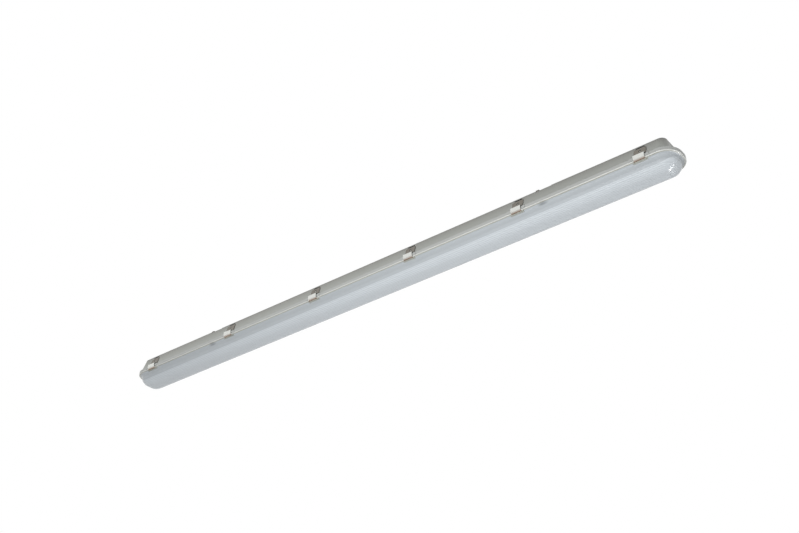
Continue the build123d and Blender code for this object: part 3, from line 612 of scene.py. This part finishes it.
def carried_round(profile):
    """Carries a profile (half width, height over the lip) round the rounded rectangle of the rim.

    Each point is drawn in from the rim's outline by its own inset: the corner's centre stays and its
    radius shrinks by the inset, and past the radius the centre moves in too, so the crown closes on a line.
    """
    inset = half_w - profile[:, 0]
    past = np.maximum(inset - corner_r, 0)
    cx = (half_l - corner_r - past)[:, None]
    cy = (half_w - corner_r - past)[:, None]
    r = np.maximum(corner_r - inset, 0)[:, None]
    share_x, share_y, angle = walk.T[:, None, :]
    x = share_x * cx + r * np.cos(angle)
    y = share_y * cy + r * np.sin(angle)
    return np.stack([x, y, (lip_z + profile[:, 1])[:, None] + 0 * x], axis=-1)


def paint_points(piece, name, tones):
    """Keeps one colour for each point of a grid mesh, in a point attribute of that name."""
    colours = np.ones((tones.size // 3, 4))
    colours[:, :3] = tones.reshape(-1, 3)
    piece.data.attributes.new(name, "FLOAT_COLOR", "POINT").data.foreach_set("color", colours.ravel())


# Half width and height over the lip, in millimetres: the crown from its middle to the crease, then the
# band up to the lip. The rim is drawn from the lip's edge over the tongue to the cover's inside
crown = MM * np.array(
    [(0, -27.1), (6.5, -27.0), (13.5, -26.4), (20, -24.2), (25.6, -20.7), (29.9, -16.1), (32.4, -12.2)]
)
band = MM * np.array([(32.75, -11.6), (33.2, -7.5), (34.0, -4.0), (35.4, -1.6), (38.4, -0.05)])
lip = np.array([(38.6 * MM, 0), (half_w - 1.1 * MM, 0)])
rim = np.array(
    [
        (half_w - 1.05 * MM, 0.02 * MM),
        (half_w - 0.9 * MM, 0.15 * MM),
        (half_w - 0.1 * MM, 1.2 * MM),
        (half_w, 1.45 * MM),
        (half_w, rim_h - 0.2 * MM),
        (half_w - 0.2 * MM, rim_h),
        (tongue_out_u, rim_h),
        (tongue_out_u, tongue_h),
        (tongue_in_u, tongue_h),
        (tongue_in_u, rim_h),
        (rim_in_u, rim_h),
        (rim_in_u, 0),
    ]
)
crown_out, groove_share = grooved(through(crown, count=190))
outer = np.concatenate([crown_out, through(band, count=24)])
shrink = 1 - cover_wall / np.array([band[-1, 0], -crown[0, 1]])
inside = np.concatenate([through(band, count=10)[::-1][1:], through(crown, count=40)[::-1]]) * shrink
profile = np.concatenate([outer, lip, rim, inside])
walk = outline_walk(corner_steps=28, side_steps=60)

# The crown's lighter tone starts at the crease. On the ends the crease is painted higher up, as painted light
# on the ends' sides, which the lamps leave dim, and the grooves' painted shade is fainter there
on_end = np.cos(walk[:, 2]) ** 2
past_crease = (-outer[:, 1:] - crease_depth + crease_climb * on_end) / crease_soft
in_crown = np.clip(past_crease + 0.5, 0, 1)[:, :, None]
groove_shares = np.concatenate([groove_share, np.zeros(len(outer) - len(crown_out))])
shade = groove_shade * groove_shares[:, None] * (1 - end_groove_loss * on_end)
outer_tones = np.array(band_shaded_tone) + (np.array(crown_tone) - band_shaded_tone) * in_crown
lip_shades = np.array(lip_painted_shade) + (np.array(lip_end_painted_shade) - lip_painted_shade) * on_end[:, None]
tones = np.concatenate(
    [
        outer_tones * (1 - shade)[:, :, None],
        np.tile(lip_shades, (len(lip), 1, 1)),
        np.tile(rim_tone, (len(rim), len(walk), 1)),
        np.tile(crown_tone, (len(inside), len(walk), 1)),
    ]
)

cover_lens = grid_mesh("cover_lens", carried_round(profile), close_cols=True)
paint_points(cover_lens, "tone", tones)
close_seams(cover_lens)

frosted = surface("cover_frosted", (1, 1, 1), 0.24, mottle=0.008, grain_size=1200, bump=0.05)
shader = frosted.node_tree.nodes["Principled BSDF"]
shader.inputs["IOR"].default_value = 1.55
shader.inputs["Coat Weight"].default_value = 0.3
shader.inputs["Coat Roughness"].default_value = 0.06
tint(frosted, shader_node(frosted, "ShaderNodeAttribute", attribute_name="tone"))
# Painted shade of the toggles behind the sides: a soft darker patch just under the lip at each toggle
x, y, z = axes_of(frosted)
past_patch = worked_out(frosted, "SUBTRACT", worked_out(frosted, "ABSOLUTE", x), patch_x)
over_patch = worked_out(frosted, "SUBTRACT", z, patch_z)
from_patch = distance(
    frosted,
    worked_out(frosted, "DIVIDE", past_patch, patch_half_l),
    worked_out(frosted, "DIVIDE", over_patch, patch_half_h),
)
tint(frosted, eased(frosted, from_patch, *patch_edge, patch_painted_shade, 1))
cover_lens.data.materials.append(frosted)
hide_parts("cover")
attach(cover_lens, "cover")


# Catch pads: short thick ribs moulded under the cover's lip, behind each latch's hook.
# They are frosted as the cover is, and painted olive, a painted shade for the housing seen through them.
pad_l = 32 * MM
pad_in_u = 35.2 * MM
pad_out_u = 40.2 * MM
pad_h = 2.1 * MM
pad_edge = 0.5 * MM


def pad_grid():
    """A bar along X: a section with its outer edge bevelled, drawn in a little at both ends and closed."""
    section = np.array(
        [
            (pad_in_u, 0),
            (pad_out_u, 0),
            (pad_out_u, pad_edge - pad_h),
            (pad_out_u - pad_edge, -pad_h),
            (pad_in_u, -pad_h),
        ]
    )
    middle = section.mean(axis=0)
    end_edge = 1 - 2 * pad_edge / pad_l
    along = pad_l / 2 * np.array([-1, -1, -end_edge, end_edge, 1, 1])
    scale = np.array([0, 0.9, 1, 1, 0.9, 0])
    rings = middle + (section - middle) * scale[:, None, None]
    return np.concatenate([along[:, None, None] + 0 * rings[..., :1], rings + (0, lip_z)], axis=-1)


catch_pads = grid_mesh("catch_pads", at_each_latch(pad_grid()), close_cols=True)
close_seams(catch_pads)
catch_pads.data.materials.append(surface("pad_olive", (0.4, 0.405, 0.36), 0.4, bump=0.05))
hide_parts("cover")
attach(catch_pads, "cover")


# Latches: pressed from stainless sheet, with an eye rolled round a steel pin in the wall's pocket and a
# round hole in the plate, in which the wall's pip stands. The steel's colour is painted: a painted
# reflection of the white room on the bulge over the flange and of the dim wall on the plate, painted
# shade where the eye sits in the pocket, at the plate's foot, round the hole and along the plate's sides,
# and the hook's edge brown.
sheet = 0.7 * MM
eye_r = 1.1 * MM
eye_turn = 300
pin_depth = 1.04 * MM
plate_start = 1.9 * MM
plate_end = 20.5 * MM
plate_out = 0.65 * MM
bulge_early = 0.6 * MM
bulge_u = half_w + 2.5 * MM
shoulder_z = foot_z + 3.2 * MM
hook_top_z = lip_z + 3.48 * MM
hook_tip = (half_w - 1.3 * MM, lip_z - 1.46 * MM)
bend_r = 1.6 * MM
tongue_half = 9.35 * MM
plate_half = 13.5 * MM
bulge_half = 12.15 * MM
plate_corner = 1.5 * MM
hole_r = 2.4 * MM
hole_zone = 3.9 * MM
hole_shade = 0.75
hole_shade_from = hole_r + 0.9 * MM
hole_shade_w = 0.7 * MM
edge_shade = 0.3
edge_from = 0.93
eye_steps = 16
hole_steps = 26
edge_steps = 6
# Where the plate has its rows of points, beside those round the hole
plate_rows = MM * np.array([1, 1.85, 1.95, 2.1, 2.4, 2.8, 3.4, 5, 6.5, 15.5, 17.2, 18.6, 19.4, 19.9, 20.3])
rows_end = 20.4 * MM
# Painted reflection and shade along the sheet: near black where the eye sits in the pocket, dim where the
# plate mirrors the wall, darker at the plate's foot under the bulge, white where the bulge mirrors the
# room, and the hook's edge brown. The way past the eye, or the way past the hook's tip, and the colour there
plate_painted_light = [
    (-20, (0.05, 0.045, 0.04)),
    (0.4, (0.1, 0.09, 0.08)),
    (2.2, (0.19, 0.175, 0.15)),
    (17.5, (0.2, 0.185, 0.16)),
    (20.3, (0.17, 0.155, 0.13)),
    (21.6, (0.71, 0.72, 0.69)),
]
hook_reflection_and_brown = [
    (-1.7, (0.71, 0.72, 0.69)),
    (-1.2, (0.21, 0.115, 0.065)),
    (0.0, (0.21, 0.115, 0.065)),
]


def rounded(points, radius, steps=5):
    """A path of straight legs with its corners rounded.

    Each corner c becomes the curve a(1-t)^2 + 2ct(1-t) + bt^2, from a on the leg before to b on the leg
    after, both as far from c as the radius times the tangent of half the turn.
    """
    p = np.asarray(points, float)
    leg = np.diff(p, axis=0)
    leg /= np.linalg.norm(leg, axis=1)[:, None]
    half_turn = np.arccos(np.clip((leg[:-1] * leg[1:]).sum(axis=1), -1, 1)) / 2
    cut = (radius * np.tan(half_turn))[:, None]
    a, c, b = p[1:-1] - leg[:-1] * cut, p[1:-1], p[1:-1] + leg[1:] * cut
    t = np.linspace(0, 1, steps)[None, :, None]
    curves = a[:, None] * (1 - t) ** 2 + 2 * c[:, None] * t * (1 - t) + b[:, None] * t**2
    return np.concatenate([p[:1], curves.reshape(-1, 2), p[-1:]])


def latch_sheet():
    """One latch as a closed sheet: a middle line (half width, level) carried along X, thickened both ways.

    The line is the eye's circle, then the plate, the bulge and the hook. Points inside the hole are moved
    out to its circle, at half the sheet's thickness. Gives the grid of points (way along X, half width,
    level), each point's tone, which holds the painted reflection and shade, and which points lie in the hole.
    """
    roll = np.radians(np.linspace(eye_turn, 0, eye_steps))
    eye = on_wall(-eye_r * np.sin(roll), eye_r * np.cos(roll) - pin_depth)
    plate = on_wall(np.array([plate_start, plate_end]), plate_out)
    legs = [eye[-1], *plate, (bulge_u, shoulder_z), (bulge_u, hook_top_z), hook_tip]
    path = np.concatenate([eye, rounded(legs, bend_r)[1:]])
    run = way_along(path)
    run = run - run[len(eye) - 1]
    hole_rows = pip_down + np.linspace(-hole_zone, hole_zone, hole_steps)
    rows = np.concatenate([run[: len(eye)], plate_rows, hole_rows, run[run > rows_end]])
    past = np.unique(np.round(rows, 8))
    middle = np.stack([np.interp(past, run, path[:, 0]), np.interp(past, run, path[:, 1])], axis=-1)
    ahead, outward = directions(middle)

    corner_in = np.clip(plate_corner - np.minimum(past - plate_start, plate_end - past), 0, plate_corner)
    half = plate_half - plate_corner + np.sqrt(plate_corner**2 - corner_in**2)
    at_ends = [past < plate_start, past > plate_end - bulge_early]
    half = np.select(at_ends, [tongue_half, bulge_half], np.maximum(half, bulge_half))
    fine = hole_zone / plate_half
    to_fine = np.linspace(-1, -fine, edge_steps)
    share = np.concatenate([to_fine, np.linspace(-fine, fine, hole_steps)[1:-1], -to_fine[::-1]])
    across = np.concatenate([share, share[::-1]])
    face = np.repeat((1, -1), len(share))

    along = half[:, None] * across
    below = (past - pip_down)[:, None] + 0 * along
    r = np.hypot(along, below)
    in_hole = r < hole_r
    push = np.where(in_hole, hole_r / r, 1)
    rise = np.where(in_hole, 0, sheet / 2 * face)[:, :, None]
    shift = (below * (push - 1))[:, :, None]
    spot = middle[:, None] + outward[:, None] * rise + ahead[:, None] * shift
    points = np.concatenate([(along * push)[:, :, None], spot], axis=-1)

    hook_end = run[-1] / MM
    marks = [mark for mark, _ in plate_painted_light] + [hook_end + mark for mark, _ in hook_reflection_and_brown]
    colours = np.array([colour for _, colour in plate_painted_light + hook_reflection_and_brown])
    tone = np.stack([np.interp(past / MM, marks, part) for part in colours.T], axis=-1)
    on_plate = ((past > plate_start) & (past < plate_end))[:, None]
    hole_rim_shade = 1 - hole_shade * np.clip((hole_shade_from - r) / hole_shade_w, 0, 1)
    side_edge_shade = 1 - edge_shade * (np.abs(across) > edge_from) * on_plate
    tones = tone[:, None] * (hole_rim_shade * side_edge_shade)[:, :, None]

    # A row at the middle line's own ends closes the sheet there
    closed = [0, *range(len(past)), -1]
    points, tones, in_hole = points[closed], tones[closed], in_hole[closed]
    points[[0, -1], :, 1:] = middle[[0, -1]][:, None]
    return points, tones, in_hole


latch_steel = surface("latch_steel", (1, 1, 1), 0.28, metal=1.0, mottle=0.05, stretch=(1, 0.2, 0.2), bump=0.1)
tint(latch_steel, shader_node(latch_steel, "ShaderNodeAttribute", attribute_name="steel_reflection_and_shade"))
sheet_points, sheet_light_and_shade, in_hole = latch_sheet()
latch_nodes = [f"latch_{row}_{number}" for row in ("front", "back") for number in range(1, 7)]
for node, points in zip(latch_nodes, at_each_latch(sheet_points)):
    latch = grid_mesh(f"{node}_sheet", points, close_cols=True, open_at=in_hole)
    paint_points(latch, "steel_reflection_and_shade", sheet_light_and_shade)
    close_seams(latch)
    latch.data.materials.append(latch_steel)
    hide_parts(node)
    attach(latch, node)
finish_node("latch_pins", screw_zinc)


low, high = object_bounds()
